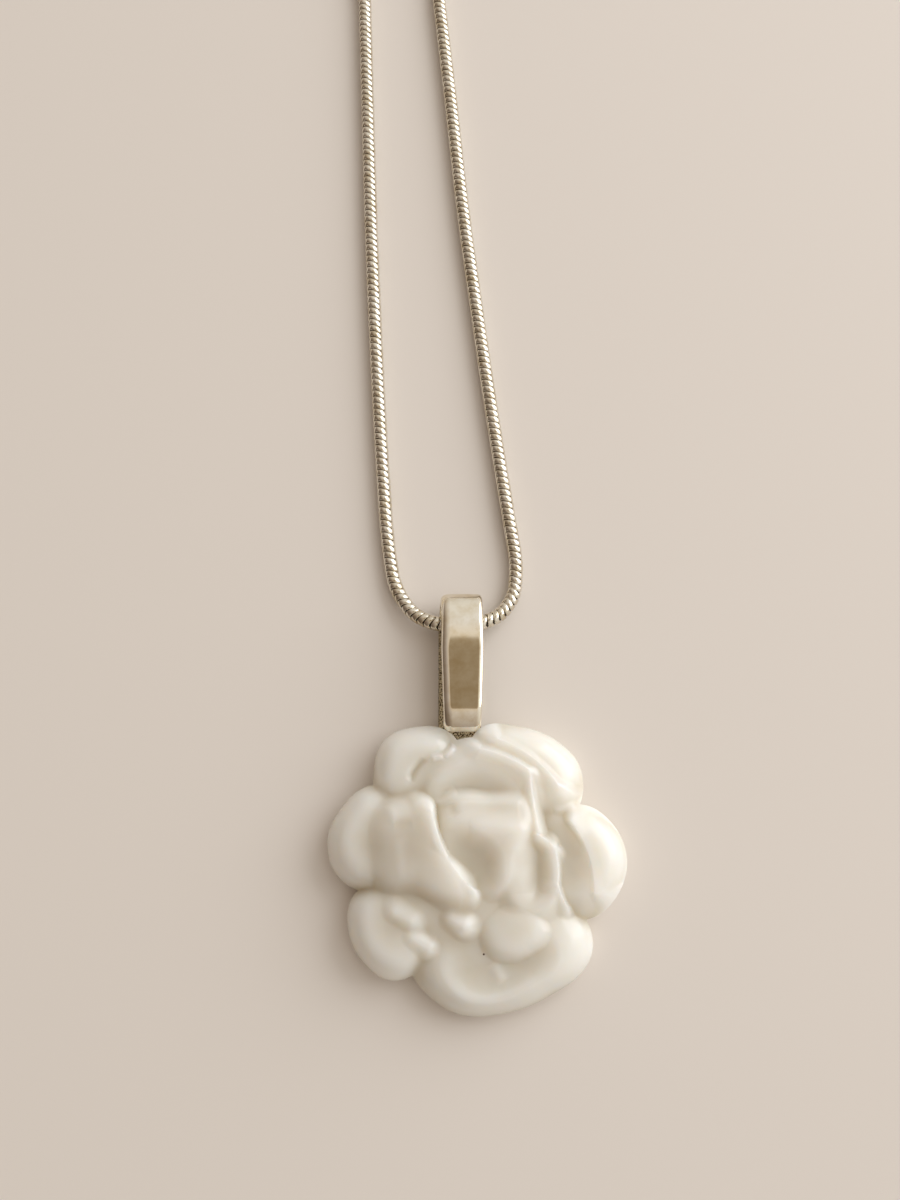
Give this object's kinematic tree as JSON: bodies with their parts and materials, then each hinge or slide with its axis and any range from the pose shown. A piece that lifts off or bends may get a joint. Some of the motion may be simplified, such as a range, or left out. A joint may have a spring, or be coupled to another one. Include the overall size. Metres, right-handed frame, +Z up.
{
  "type": "glass flower pendant necklace",
  "caption": "Necklace with an opaque white glass flower pendant on a glue-on metal bail and a round snake chain.",
  "frame": {"origin": "centre of the glass flower's flat back, on the surface that the necklace lies on", "axes": "+X to the right, +Y from the flower towards the clasp, +Z up from the surface, out of the flower's face"},
  "size_m": [0.0908, 0.216, 0.0065],
  "materials": {
    "white_glass": "fire-polished, opaque",
    "bail_metal": "mirror-polished silver plate",
    "chain_metal": "bright silver plate",
    "fitting_metal": "bright silver plate"
  },
  "bodies": {
    "root": {"glass_flower": "white_glass", "bail": "bail_metal", "snake_chain": "chain_metal", "end_cap_left": "fitting_metal", "end_cap_right": "fitting_metal", "jump_ring_left": "fitting_metal", "jump_ring_right": "fitting_metal", "clasp": "fitting_metal"}
  },
  "joints": []
}
